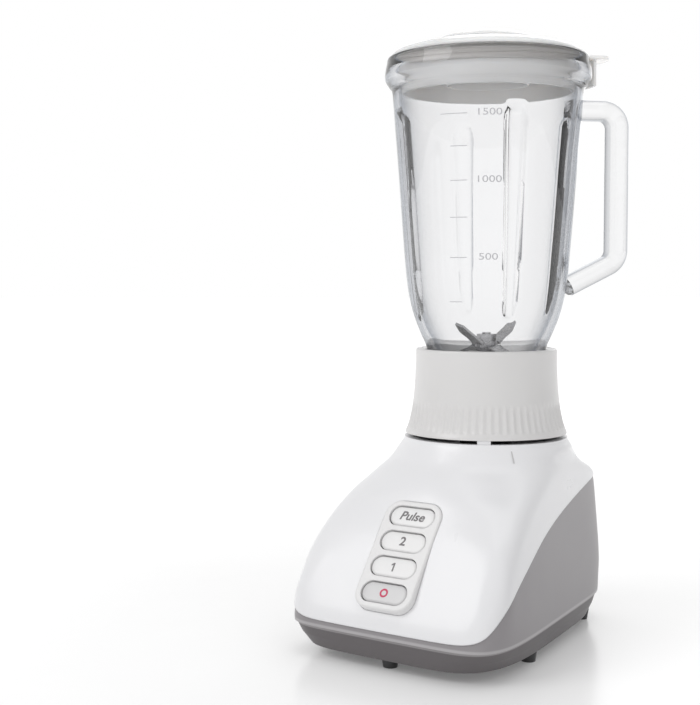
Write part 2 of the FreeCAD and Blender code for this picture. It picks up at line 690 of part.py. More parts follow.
def lid_gasket():
    """A soft ring with two lips around the lid's plug."""
    return turned([(LID_PLUG + 0.6, 386), (61.3, 387), (61.3, 389.5), (62.6, 391.6),
                   (63.2, 393.4), (61.4, 394.2), (LID_PLUG + 0.6, 394.2)])


def filler_cap():
    crown = [(0.0, 415.2), (12.0, 414.6), (22.0, 412.8), (31.0, 410.0), (36.5, 407.8), (CAP_RADIUS, 406.4)]
    top = smooth_curve([(r, 0, z) for r, z in crown])
    rest = Part.makePolygon([V(CAP_RADIUS, 0, 406.4), V(CAP_RADIUS, 0, 406.2),
                             V(29.6, 0, 406.2), V(29.6, 0, 380),
                             V(27.4, 0, 378), V(27.4, 0, 405), V(0, 0, 411), V(0, 0, 415.2)])
    wire = Part.Wire(Part.sortEdges([top] + rest.Edges)[0])
    return Part.Face(wire).revolve(V(0, 0, 0), V(0, 0, 1), 360)


# ---------------------------------------------------------------- switch gear
def switch_block():
    """The push-button switch behind the panel."""
    body = Part.makeBox(30, PANEL_LENGTH - 4, 15, V(-15, -PANEL_LENGTH / 2 + 2, -30.0))
    return panel_place(body)


def thermal_cutout():
    floor = PAN_FLOOR + PAN_THICK
    return joined([block(16, 10, floor, floor + 18, 24, 66), block(3, 3, floor + 18, floor + 23, 24, 66)])


def terminal_block():
    floor = PAN_FLOOR + PAN_THICK
    body = block(30, 12, floor, floor + 12, -22, 66)
    for i in range(3):
        body = body.cut(cylinder(2.2, floor + 6, floor + 13, -32 + 10 * i, 66))
    return body


def main():
    hood, skirt = housing()
    save("hood", hood)
    save("side_skirt", skirt)
    pan = joined([bottom_pan()] + [motor_pillar(x, y) for x, y in MOUNTS])
    for x, y in MOUNTS:
        pan = pan.cut(cylinder(2.6, MOTOR_BASE - 14, MOTOR_BASE, x, y))
    save("bottom_pan", pan)
    save("rubber_feet", Part.makeCompound([foot(x, y) for x, y in FEET]))
    save("base_screws", Part.makeCompound([base_screw(x, y) for x, y in SCREWS]))
    save("button_panel", button_panel())
    for name, y in BUTTON_PLACES.items():
        save(name, push_button(y))
    save("switch_block", switch_block())
    save("cord_gland", cord_gland())
    save("thermal_cutout", thermal_cutout())
    save("terminal_block", terminal_block())
    save("motor_stator", stator())
    save("field_windings", Part.makeCompound([winding(-1), winding(1)]))
    save("motor_upper_bracket", upper_bracket())
    save("motor_lower_bracket", lower_bracket())
    save("upper_bearing", bearing(UPPER_BEARING))
    save("lower_bearing", bearing(LOWER_BEARING))
    save("brush_holders", Part.makeCompound([brush_gear(-1), brush_gear(1)]))
    save("carbon_brushes", Part.makeCompound([carbon_brush(-1), carbon_brush(1)]))
    save("motor_mounts", Part.makeCompound([motor_mount(x, y) for x, y in MOUNTS]))
    save("motor_bolts", Part.makeCompound([motor_bolt(x, y) for x, y in MOUNTS]))
    save("shaft_seal", shaft_seal())
    save("rotor_core", rotor_core())
    save("rotor_windings", rotor_windings())
    save("commutator", commutator())
    save("motor_shaft", motor_shaft())
    save("cooling_fan", cooling_fan())
    save("drive_coupling", drive_coupling())
    save("jug_collar", jug_collar())
    save("blade_carrier", blade_carrier())
    save("jug_gasket", jug_gasket())
    save("blade_bushing", blade_bushing())
    save("blade_seal", blade_seal())
    save("blade_shaft", blade_shaft())
    save("lower_blade", blade_pair(30.0, 12.5, -22.0, BLADE_TURN + 90, BLADE_LEVEL - BLADE_THICK))
    save("upper_blade", blade_pair(30.0, 12.5, 38.0, BLADE_TURN, BLADE_LEVEL))
    save("blade_washer", blade_washer())
    save("blade_nut", blade_nut())
    save("jug_coupling", jug_coupling())
    save("glass_jug", jug())
    save("lid", lid())
    save("lid_gasket", lid_gasket())
    save("filler_cap", filler_cap())


main()
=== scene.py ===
import math

import bpy
import numpy as np
from bpy.props import FloatProperty, FloatVectorProperty, IntProperty, PointerProperty
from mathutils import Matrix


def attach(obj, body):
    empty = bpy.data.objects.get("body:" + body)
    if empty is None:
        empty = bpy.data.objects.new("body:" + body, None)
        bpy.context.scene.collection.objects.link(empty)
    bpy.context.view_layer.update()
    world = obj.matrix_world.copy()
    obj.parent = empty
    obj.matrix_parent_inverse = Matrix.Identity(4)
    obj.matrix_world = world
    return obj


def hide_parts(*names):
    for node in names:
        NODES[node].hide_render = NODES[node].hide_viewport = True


bl_info = {
    "name": "Countertop Blender Looks",
    "version": (1, 0, 0),
    "blender": (4, 5, 0),
    "location": "View3D > Sidebar > Blender",
    "description": "Dresses the packed countertop blender: glass jug, collar, lid, buttons and finishes",
    "category": "Object",
}

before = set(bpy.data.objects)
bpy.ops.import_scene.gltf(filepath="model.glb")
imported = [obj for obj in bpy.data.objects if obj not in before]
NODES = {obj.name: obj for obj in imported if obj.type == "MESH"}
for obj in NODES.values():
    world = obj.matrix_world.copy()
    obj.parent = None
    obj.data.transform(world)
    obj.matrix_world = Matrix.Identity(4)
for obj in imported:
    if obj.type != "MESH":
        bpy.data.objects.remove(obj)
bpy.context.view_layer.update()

# The shapes below are worked out in millimetres around the jug axis, then moved into the frame.
AXIS_Y = 22.0
PANEL_CENTRE = np.array([0.0, -109.6, 70.5])
PANEL_SLOPE = math.radians(53.5)
BUTTON_PITCH = 18.0


# ---------------------------------------------------------------- curves and surfaces
def smooth(points, count):
    """A Catmull-Rom curve through the points: each span is the usual cubic in t of its four neighbours."""
    p = np.asarray(points, float)
    p = np.vstack([2 * p[0] - p[1], p, 2 * p[-1] - p[-2]])
    t = np.linspace(0, len(p) - 3 - 1e-9, count)
    i = t.astype(int)
    t = (t - i)[:, None]
    a, b, c, d = p[i], p[i + 1], p[i + 2], p[i + 3]
    return 0.5 * (2 * b + (c - a) * t + (2 * a - 5 * b + 4 * c - d) * t ** 2 + (3 * b - a - 3 * c + d) * t ** 3)


def place(points):
    """Millimetres around the jug axis to metres in the frame."""
    moved = np.asarray(points, float).copy()
    moved[..., 1] += AXIS_Y
    return moved / 1000.0


def make_object(name, points, faces, material, sharp=35.0):
    """A mesh object from points in millimetres and faces; smooth apart from edges over the angle."""
    mesh = bpy.data.meshes.new(name)
    mesh.from_pydata(place(points).tolist(), [], faces)
    mesh.polygons.foreach_set("use_smooth", np.ones(len(mesh.polygons), bool))
    mesh.set_sharp_from_angle(angle=math.radians(sharp))
    mesh.materials.append(material)
    mesh.update()
    obj = bpy.data.objects.new(name, mesh)
    bpy.context.scene.collection.objects.link(obj)
    return obj


def grid_faces(rows, columns, close_rows=False, close_columns=True, first=0):
    """Quads between neighbouring rows and columns of a grid that is stored row after row."""
    r = np.arange(rows if close_rows else rows - 1)[:, None]
    c = np.arange(columns if close_columns else columns - 1)[None, :]
    r2, c2 = (r + 1) % rows, (c + 1) % columns
    quads = np.stack([r * columns + c, r * columns + c2, r2 * columns + c2, r2 * columns + c], -1)
    return (quads.reshape(-1, 4) + first).tolist()


def revolve(profile, angles, radial=None):
    """A profile (r, z) turned about the axis: x = r sin a, y = -r cos a, r changed by radial(r, z, a)."""
    r = np.asarray(profile)[:, 0][:, None]
    z = np.asarray(profile)[:, 1][:, None] + 0 * angles[None, :]
    a = angles[None, :] + 0 * r
    r = r + 0 * a
    if radial is not None:
        r = radial(r, z, a)
    return np.stack([r * np.sin(a), -r * np.cos(a), z], -1)


def lathe(name, profile, steps, material, sharp=35.0, radial=None, closed=True):
    """A turned piece. A closed profile makes a ring; an open one ends on the axis in two poles."""
    angles = np.linspace(0, 2 * np.pi, steps, endpoint=False)
    profile = np.asarray(profile, float)
    if closed:
        points = revolve(profile, angles, radial)
        faces = grid_faces(len(profile), steps, close_rows=True)
        return make_object(name, points.reshape(-1, 3), faces, material, sharp)
    body = profile[1:-1]
    points = revolve(body, angles, radial).reshape(-1, 3)
    faces = grid_faces(len(body), steps)
    low, high = len(points), len(points) + 1
    points = np.vstack([points, [0, 0, profile[0][1]], [0, 0, profile[-1][1]]])
    ring = np.arange(steps)
    following = (ring + 1) % steps
    last = (len(body) - 1) * steps
    faces += np.stack([following, ring, 0 * ring + low], -1).tolist()
    faces += np.stack([last + ring, last + following, 0 * ring + high], -1).tolist()
    return make_object(name, points, faces, material, sharp)


def carried(name, stations, across, along_up, section, material, sharp=60.0):
    """A closed section carried along a line of stations: point = station + u across + v up, with end caps."""
    sideways = section[None, :, :1] * across[None, None, :]
    upwards = section[None, :, 1:] * along_up[:, None, :]
    ring = stations[:, None, :] + sideways + upwards
    rows, columns = ring.shape[:2]
    points = ring.reshape(-1, 3)
    faces = grid_faces(rows, columns)
    points = np.vstack([points, stations[0], stations[-1]])
    c = np.arange(columns)
    c2 = (c + 1) % columns
    last = (rows - 1) * columns
    faces += np.stack([c2, c, 0 * c + rows * columns], -1).tolist()
    faces += np.stack([last + c, last + c2, 0 * c + rows * columns + 1], -1).tolist()
    return make_object(name, points, faces, material, sharp)


def rounded_outline(width, height, corner, count):
    """A rounded rectangle by angle, from its four corner arcs: returns points and outward normals."""
    a = np.linspace(0, 2 * np.pi, count, endpoint=False) + np.pi / count
    normal = np.stack([np.cos(a), np.sin(a)], -1)
    centre = np.sign(normal) * [width / 2 - corner, height / 2 - corner]
    return centre + corner * normal, normal


def on_panel(points, middle=0.0):
    """Flat (x, y, z) points, face up, laid on the sloping panel, middle millimetres up its centre line."""
    p = np.asarray(points, float)
    y = p[..., 1] + middle
    c, s = math.cos(PANEL_SLOPE), math.sin(PANEL_SLOPE)
    return np.stack([p[..., 0], y * c - p[..., 2] * s, y * s + p[..., 2] * c], -1) + PANEL_CENTRE


def pillow(name, outline, normal, steps, material, middle):
    """A flat-topped pad: rings of the outline, each stepped inwards and up, with a pole on each side."""
    rings = [np.concatenate([outline - inset * normal, np.full((len(outline), 1), height)], 1)
             for inset, height in steps]
    points = np.concatenate(rings + [np.array([[0, 0, steps[0][1]], [0, 0, steps[-1][1]]])])
    columns = len(outline)
    faces = grid_faces(len(steps), columns)
    c = np.arange(columns)
    c2 = (c + 1) % columns
    end = len(steps) * columns
    faces += np.stack([c2, c, 0 * c + end], -1).tolist()
    faces += np.stack([end - columns + c, end - columns + c2, 0 * c + end + 1], -1).tolist()
    return make_object(name, on_panel(points, middle), faces, material, 50.0)


def lettering(name, text, size, slant=0.0, weight=0.0):
    """Flat letters as a mesh's points and faces, in millimetres, centred on the origin."""
    curve = bpy.data.curves.new(name + "_letters", "FONT")
    curve.body = text
    curve.size = size
    curve.shear = slant
    curve.offset = size * weight
    curve.align_x = "CENTER"
    curve.align_y = "CENTER"
    curve.resolution_u = 6
    holder = bpy.data.objects.new(name + "_letters", curve)
    bpy.context.scene.collection.objects.link(holder)
    bpy.context.view_layer.update()
    mesh = bpy.data.meshes.new_from_object(holder.evaluated_get(bpy.context.evaluated_depsgraph_get()))
    points = np.zeros(len(mesh.vertices) * 3)
    mesh.vertices.foreach_get("co", points)
    faces = [list(p.vertices) for p in mesh.polygons]
    bpy.data.objects.remove(holder)
    bpy.data.curves.remove(curve)
    bpy.data.meshes.remove(mesh)
    return points.reshape(-1, 3), faces


# ---------------------------------------------------------------- finishes
def tree_of(name):
    """A new material with its nodes, its links and its main shader."""
    material = bpy.data.materials.new(name)
    material.use_nodes = True
    nodes = material.node_tree.nodes
    return material, nodes, material.node_tree.links, nodes["Principled BSDF"]


def noise(nodes, links, scale, detail=4.0, stretch=None):
    """Noise on the object's own coordinates, stretched along an axis where a grain needs it."""
    where = nodes.new("ShaderNodeTexCoord")
    source = where.outputs["Object"]
    if stretch is not None:
        mapping = nodes.new("ShaderNodeMapping")
        mapping.inputs["Scale"].default_value = stretch
        links.new(source, mapping.inputs["Vector"])
        source = mapping.outputs["Vector"]
    texture = nodes.new("ShaderNodeTexNoise")
    texture.inputs["Scale"].default_value = scale
    texture.inputs["Detail"].default_value = detail
    links.new(source, texture.inputs["Vector"])
    return texture.outputs["Fac"]


def ranged(nodes, links, value, low, high):
    """Noise, which lies mostly between 0.3 and 0.7, spread over a range."""
    node = nodes.new("ShaderNodeMapRange")
    node.inputs["From Min"].default_value = 0.3
    node.inputs["From Max"].default_value = 0.7
    node.inputs["To Min"].default_value = low
    node.inputs["To Max"].default_value = high
    links.new(value, node.inputs["Value"])
    return node.outputs["Result"]


def tinted(nodes, links, value, first, second):
    """A colour between two, mixed by a value."""
    mix = nodes.new("ShaderNodeMix")
    mix.data_type = "RGBA"
    mix.inputs["A"].default_value = (*first, 1)
    mix.inputs["B"].default_value = (*second, 1)
    links.new(value, mix.inputs["Factor"])
    return mix.outputs["Result"]


def rough_surface(nodes, links, shader, height, strength, distance, rounding=0.0):
    """Bump from a height, over edges softened by a rounding radius in metres."""
    bump = nodes.new("ShaderNodeBump")
    bump.inputs["Strength"].default_value = strength
    bump.inputs["Distance"].default_value = distance
    links.new(height, bump.inputs["Height"])
    if rounding > 0:
        bevel = nodes.new("ShaderNodeBevel")
        bevel.samples = 6
        bevel.inputs["Radius"].default_value = rounding
        links.new(bevel.outputs["Normal"], bump.inputs["Normal"])
    links.new(bump.outputs["Normal"], shader.inputs["Normal"])


def moulded(name, colour, roughness, grain=0.06, coat=0.0, rounding=0.0, spread=0.03):
    """Moulded plastic or rubber: a faint cloudy tone, a fine grain and uneven gloss."""
    material, nodes, links, shader = tree_of(name)
    cloud = noise(nodes, links, 22.0, 3.0)
    darker = tuple(c * (1 - spread) for c in colour)
    links.new(tinted(nodes, links, cloud, darker, colour), shader.inputs["Base Color"])
    fine = noise(nodes, links, 1400.0, 2.0)
    links.new(ranged(nodes, links, cloud, roughness - 0.03, roughness + 0.03), shader.inputs["Roughness"])
    rough_surface(nodes, links, shader, fine, grain, 0.00005, rounding)
    shader.inputs["Coat Weight"].default_value = coat
    shader.inputs["Coat Roughness"].default_value = 0.12
    return material


def milky(material, weight):
    """Lets light through thin white walls, as in the lid."""
    shader = material.node_tree.nodes["Principled BSDF"]
    shader.inputs["Subsurface Weight"].default_value = weight
    shader.inputs["Subsurface Radius"].default_value = (1.0, 0.93, 0.86)
    shader.inputs["Subsurface Scale"].default_value = 0.008
    return material


def painted_edge_highlight(name, colour, painted_edge_colour, low, high, roughness, grain, coat, rounding):
    """Moulded plastic with a painted highlight along one edge: the tone changes to the painted highlight's
    colour between two heights, in metres.
    """
    material = moulded(name, colour, roughness, grain, coat, rounding)
    nodes, links = material.node_tree.nodes, material.node_tree.links
    shader = nodes["Principled BSDF"]
    body = shader.inputs["Base Color"].links[0].from_socket
    where = nodes.new("ShaderNodeTexCoord")
    split = nodes.new("ShaderNodeSeparateXYZ")
    links.new(where.outputs["Object"], split.inputs["Vector"])
    step = nodes.new("ShaderNodeMapRange")
    step.inputs["From Min"].default_value = low
    step.inputs["From Max"].default_value = high
    links.new(split.outputs["Z"], step.inputs["Value"])
    mix = nodes.new("ShaderNodeMix")
    mix.data_type = "RGBA"
    mix.inputs["B"].default_value = (*painted_edge_colour, 1)
    links.new(step.outputs["Result"], mix.inputs["Factor"])
    links.new(body, mix.inputs["A"])
    links.new(mix.outputs["Result"], shader.inputs["Base Color"])
    return material


def metal(name, colour, roughness, stretch=(1, 1, 40), grain=0.15, scale=260.0):
    """Machined metal: a grain stretched along the tool's path changes tone, gloss and height."""
    material, nodes, links, shader = tree_of(name)
    lines = noise(nodes, links, scale, 5.0, stretch)
    darker = tuple(c * 0.8 for c in colour)
    links.new(tinted(nodes, links, lines, darker, colour), shader.inputs["Base Color"])
    links.new(ranged(nodes, links, lines, roughness - 0.07, roughness + 0.09), shader.inputs["Roughness"])
    rough_surface(nodes, links, shader, lines, grain, 0.00004)
    shader.inputs["Metallic"].default_value = 1.0
    return material


def banded(name, colour, second, scale, direction="Z", metallic=1.0, roughness=0.45):
    """Stacked laminations or wound wire: fine bands across one axis, with a little waviness."""
    material, nodes, links, shader = tree_of(name)
    where = nodes.new("ShaderNodeTexCoord")
    wave = nodes.new("ShaderNodeTexWave")
    wave.bands_direction = direction
    wave.inputs["Scale"].default_value = scale
    wave.inputs["Distortion"].default_value = 0.6
    wave.inputs["Detail"].default_value = 2.0
    links.new(where.outputs["Object"], wave.inputs["Vector"])
    links.new(tinted(nodes, links, wave.outputs["Fac"], colour, second), shader.inputs["Base Color"])
    rough_surface(nodes, links, shader, wave.outputs["Fac"], 0.5, 0.0002)
    shader.inputs["Metallic"].default_value = metallic
    shader.inputs["Roughness"].default_value = roughness
    return material


def clear_glass(name, colour, painted_edge_colour, roughness=0.015):
    """Pressed glass: clear, with a slow waviness, and a deeper bluish tint where its wall is seen edge on,
    darkened well past the glass's own tint as a painted dark reflection.
    """
    material, nodes, links, shader = tree_of(name)
    edge = nodes.new("ShaderNodeLayerWeight")
    edge.inputs["Blend"].default_value = 0.5
    steep = nodes.new("ShaderNodeMapRange")
    steep.interpolation_type = "SMOOTHSTEP"
    steep.inputs["From Min"].default_value = 0.25
    steep.inputs["From Max"].default_value = 0.85
    links.new(edge.outputs["Facing"], steep.inputs["Value"])
    # The colour darkens towards the edge colour as the wall turns edge on: a painted dark reflection.
    links.new(tinted(nodes, links, steep.outputs["Result"], colour, painted_edge_colour), shader.inputs["Base Color"])
    shader.inputs["Transmission Weight"].default_value = 1.0
    shader.inputs["IOR"].default_value = 1.5
    links.new(ranged(nodes, links, noise(nodes, links, 60.0, 2.0), roughness - 0.01, roughness + 0.015),
              shader.inputs["Roughness"])
    rough_surface(nodes, links, shader, noise(nodes, links, 34.0, 1.0), 0.12, 0.0006)
    return material


def ink(name, colour, roughness=0.5):
    """Printed ink, slightly uneven."""
    return moulded(name, colour, roughness, 0.02, spread=0.08)


def dress(names, material):
    """Give CAD nodes a finish."""
    for name in names:
        data = NODES[name].data
        data.materials.clear()
        data.materials.append(material)
        NODES[name].material_slots[0].material = material


class KitchenBlenderSettings(bpy.types.PropertyGroup):
    """Sizes and colours that a user may change."""
    flutes: IntProperty(name="Collar flutes", description="Soft upright flutes around the foot of the collar",
                        default=64, min=24, max=120)
    flute_depth: FloatProperty(name="Flute depth", description="Depth of each flute, in millimetres",
                               default=0.75, min=0.0, max=1.5)
    rib_radius: FloatProperty(name="Rib radius", description="Radius of the ribs' round heads, in millimetres",
                              default=8.5, min=5.0, max=9.0)
    housing_colour: FloatVectorProperty(name="Housing", description="Colour of the motor housing",
                                        subtype="COLOR", default=(0.83, 0.83, 0.845), min=0, max=1)
    side_colour: FloatVectorProperty(name="Side panels", description="Colour of the side panels",
                                     subtype="COLOR", default=(0.29, 0.275, 0.285), min=0, max=1)
    pan_colour: FloatVectorProperty(name="Bottom pan", description="Colour of the bottom pan",
                                    subtype="COLOR", default=(0.12, 0.11, 0.114), min=0, max=1)
    collar_colour: FloatVectorProperty(name="Collar", description="Colour of the screw collar",
                                       subtype="COLOR", default=(0.70, 0.692, 0.688), min=0, max=1)
    glass_colour: FloatVectorProperty(name="Glass", description="Tint of the jug's glass",
                                      subtype="COLOR", default=(0.97, 0.971, 0.976), min=0, max=1)
    legend_colour: FloatVectorProperty(name="Legends", description="Colour of the printed legends",
                                       subtype="COLOR", default=(0.2, 0.19, 0.195), min=0, max=1)
    off_colour: FloatVectorProperty(name="Off mark", description="Colour of the ring on the off button",
                                    subtype="COLOR", default=(0.62, 0.06, 0.14), min=0, max=1)
    floor_colour: FloatVectorProperty(name="Floor", description="Colour of the floor",
                                      subtype="COLOR", default=(0.9, 0.9, 0.9), min=0, max=1)


# ---------------------------------------------------------------- jug
JUG_OUTER = [(39.0, 189.6), (40.6, 194), (42.0, 199), (45.8, 207.5), (50.1, 218.5), (53.3, 230.6),
             (55.2, 243), (56.6, 257), (58.8, 285), (61.5, 322), (63.8, 350), (65.6, 372),
             (67.6, 376.5), (70.2, 380.5), (70.8, 384), (70.4, 388), (69.6, 392), (69.2, 394.6)]
JUG_INNER = [(65.6, 394.8), (64.6, 390), (63.2, 386), (62.4, 381), (61.5, 373), (59.6, 350), (57.3, 322),
             (54.6, 285), (52.4, 258), (51.0, 244), (49.0, 232), (45.6, 220), (41.0, 209), (37.0, 201),
             (34.4, 194), (33.6, 189.4)]
RIB_FOOT_Z, RIB_HEAD_Z = 222.0, 350.0
RIB_AZIMUTHS = np.radians([48.0, 138.0, 228.0, 318.0])
HANDLE_AZIMUTH = math.radians(138.0)
HANDLE_WIDTH, HANDLE_THICK, HANDLE_CORNER = 21.0, 13.6, 6.7
# Colour of the glass seen edge on: the glass's own bluish tint, darkened as a painted dark reflection.
GLASS_PAINTED_EDGE_REFLECTION = (0.12, 0.145, 0.19)


def jug_profile():
    """The wall's closed (r, z) outline: up the outside, over the lip, down the inside, round the neck."""
    outer = smooth(JUG_OUTER, 110)
    lip = np.array([(68.9, 395.6), (68.2, 396.0), (67.0, 396.0), (66.2, 395.8)])
    inner = smooth(JUG_INNER, 110)
    foot = np.array([(33.6, 184.4), (34.2, 183.6), (36.0, 183.4), (37.6, 183.4), (38.6, 183.8),
                     (39.0, 184.8)])
    return np.vstack([outer, lip, inner, foot]), len(outer) + len(lip)


def outer_radius(z):
    """The jug's outside radius at a height."""
    table = smooth(JUG_OUTER, 200)
    return np.interp(z, table[:, 1], table[:, 0])


def rib_surface(head_radius, first_inner, rows):
    """Four tapered bars on the inside: r is the lesser of the wall and the bar's near side, blended softly."""
    def radial(r, z, a):
        """The near side of a bar is bar_r cos(turn) - sqrt(bar_radius^2 - side^2 - beyond^2)."""
        inside = (np.arange(rows) >= first_inner)[:, None]
        rise = np.clip((z - RIB_FOOT_Z) / (RIB_HEAD_Z - RIB_FOOT_Z), 0, 1)
        bar_r = 48.5 + 14.0 * rise
        bar_radius = 4.5 + (head_radius - 4.5) * rise
        gap = np.full_like(r, 1e3)
        for azimuth in RIB_AZIMUTHS:
            turn = (a - azimuth + np.pi) % (2 * np.pi) - np.pi
            side = np.abs(bar_r * np.sin(turn)) + 100.0 * (np.cos(turn) < 0)
            beyond = np.maximum(np.maximum(z - RIB_HEAD_Z, RIB_FOOT_Z - z), 0)
            reach = bar_radius ** 2 - side ** 2 - beyond ** 2
            near = np.where(reach > 0, bar_r * np.cos(turn) - np.sqrt(np.maximum(reach, 0)), 1e3)
            gap = np.minimum(gap, near)
        soft = 0.7
        mixed = np.clip(0.5 + (r - gap) / (2 * soft), 0, 1)
        blended = r * (1 - mixed) + gap * mixed - soft * mixed * (1 - mixed)
        return np.where(inside & (gap < r + soft), blended, r)
    return radial


def handle_stations():
    """The handle's centre line: top arm, bend, upright grip, bend, and a lower arm that slopes in and down."""
    aim = np.array([math.sin(HANDLE_AZIMUTH), -math.cos(HANDLE_AZIMUTH), 0.0])
    bend, slope, grip, top, low = 12.0, math.radians(26.0), 95.2, 362.4, 253.0
    quarter = np.linspace(0, np.pi / 2, 14)
    arm = np.stack([np.linspace(60.5, grip - bend, 14), np.full(14, top)], -1)
    first = np.stack([grip - bend + bend * np.sin(quarter), top - bend + bend * np.cos(quarter)], -1)
    upright = np.stack([np.full(24, grip), np.linspace(top - bend, low + bend, 24)], -1)
    turn = np.linspace(0, np.pi / 2 - slope, 12)
    second = np.stack([grip - bend + bend * np.cos(turn), low + bend - bend * np.sin(turn)], -1)
    run = np.linspace(0, 33.0, 16)[:, None]
    lower = second[-1] - run * [math.cos(slope), math.sin(slope)]
    path = np.vstack([arm, first[1:], upright[1:], second[1:], lower[1:]])
    step = np.gradient(path, axis=0)
    step /= np.linalg.norm(step, axis=1)[:, None]
    stations = path[:, :1] * aim + np.stack([0 * path[:, 0], 0 * path[:, 0], path[:, 1]], -1)
    up = -step[:, 1:] * aim + step[:, :1] * np.array([0, 0, 1.0])
    across = np.cross([0, 0, 1.0], aim)
    return stations, across, up


class BLENDER_OT_glass_jug(bpy.types.Operator):
    """Make the glass jug with its ribs and handle"""
    bl_idname = "kitchen.glass_jug"
    bl_label = "Glass jug"

    def execute(self, context):
        settings = context.scene.kitchen_blender
        glass = clear_glass("jug_glass", settings.glass_colour, GLASS_PAINTED_EDGE_REFLECTION)
        profile, first_inner = jug_profile()
        radial = rib_surface(settings.rib_radius, first_inner, len(profile))
        jug = lathe("jug_wall", profile, 360, glass, 50.0, radial)
        stations, across, up = handle_stations()
        outline, _ = rounded_outline(HANDLE_WIDTH, HANDLE_THICK, HANDLE_CORNER, 48)
        handle = carried("jug_handle", stations, across, up, outline, glass)
        join_into(jug, handle)
        jug.visible_shadow = False
        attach(jug, "jug")
        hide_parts("glass_jug")
        return {"FINISHED"}


def join_into(body, added):
    """Fuse a closed piece into a body, keep the result as the body's mesh and drop the other."""
    union = body.modifiers.new("fuse", "BOOLEAN")
    union.operation = "UNION"
    union.solver = "EXACT"
    union.object = added
    bpy.context.view_layer.update()
    fused = bpy.data.meshes.new_from_object(body.evaluated_get(bpy.context.evaluated_depsgraph_get()))
    body.modifiers.clear()
    body.data = fused
    bpy.data.objects.remove(added)
    fused.polygons.foreach_set("use_smooth", np.ones(len(fused.polygons), bool))
    fused.set_sharp_from_angle(angle=math.radians(50))


# Each mark: its height, its line's length and its figure.
MARKS = [(352.0, 17.5, "1500"), (331.3, 11.0, ""), (309.2, 11.0, "1000"), (285.3, 11.0, ""),
         (259.1, 11.0, "500"), (230.0, 8.0, "")]
MARK_AZIMUTH = math.radians(30.15)


def on_jug(u, z):
    """Flat (u, z) points wrapped on the outside of the jug, u millimetres right of the marks' line."""
    radius = outer_radius(z)
    angle = MARK_AZIMUTH + np.arcsin(np.clip(u / radius, -1, 1))
    return np.stack([(radius + 0.06) * np.sin(angle), -(radius + 0.06) * np.cos(angle), z], -1)


class BLENDER_OT_volume_marks(bpy.types.Operator):
    """Print the volume marks on the jug"""
    bl_idname = "kitchen.volume_marks"
    bl_label = "Volume marks"

    def execute(self, context):
        paint = ink("mark_ink", (0.5, 0.5, 0.52))
        points, faces, count = [], [], 0
        for z, length, text in MARKS:
            left = -30.5 if length > 12 else -24.0
            u = np.linspace(left, left + length, 14)
            strip = on_jug(np.stack([u, u]), np.stack([u * 0 + z - 0.26, u * 0 + z + 0.26]))
            points.append(strip.reshape(-1, 3))
            faces += grid_faces(2, 14, close_columns=False, first=count)
            count += 28
            if text:
                flat, shape = lettering("mark", text, 7.6)
                flat = flat * [1.15, 0.82, 1]
                points.append(on_jug(flat[:, 0] + 1.0, flat[:, 1] + z + 0.4))
                faces += [[i + count for i in face] for face in shape]
                count += len(flat)
        marks = make_object("jug_marks", np.vstack(points), faces, paint)
        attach(marks, "jug")
        return {"FINISHED"}


# ---------------------------------------------------------------- collar
COLLAR_OUTER = [(56.0, 138.6), (55.6, 140.2), (54.4, 143), (52.9, 148), (51.5, 155), (50.4, 163), (49.6, 172),
                (49.1, 181), (48.85, 190), (48.8, 195.4)]


class BLENDER_OT_screw_collar(bpy.types.Operator):
    """Make the fluted screw collar"""
    bl_idname = "kitchen.screw_collar"
    bl_label = "Screw collar"

    def execute(self, context):
        settings = context.scene.kitchen_blender
        outer = smooth(COLLAR_OUTER, 90)
        lip = np.array([(48.6, 196.3), (48.1, 196.8), (47.3, 197.0), (46.4, 196.8), (45.8, 196.3),
                        (44.0, 196.0), (43.2, 195.9), (41.4, 191.0), (41.2, 190.0), (41.2, 175.0),
                        (34.2, 174.5), (34.2, 174.4),
                        (45.9, 174.4), (46.6, 172.0)])
        inner = smooth([(47.0, 170), (48.2, 160), (49.7, 151), (51.6, 144), (53.2, 138.8)], 30)
        profile = np.vstack([outer, lip, inner, [(53.6, 138.6), (55.6, 138.6)]])
        rows = len(profile)

        def fluted(r, z, a):
            """Outside, r loses flute_depth (0.5 - 0.5 cos(flutes a))^0.8, faded out above and below."""
            outside = (np.arange(rows) < len(outer))[:, None]
            rise = np.clip((z - 141.6) / 2.2, 0, 1) * np.clip((163.0 - z) / 7.0, 0, 1)
            rise = rise * rise * (3 - 2 * rise)
            wave = 0.5 - 0.5 * np.cos(settings.flutes * a)
            return r - outside * rise * settings.flute_depth * wave ** 0.8

        plastic = moulded("collar_satin", settings.collar_colour, 0.34, 0.05, 0.15)
        collar = lathe("grip_collar", profile, settings.flutes * 10, plastic, 50.0, fluted)
        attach(collar, "collar")
        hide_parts("jug_collar")
        return {"FINISHED"}


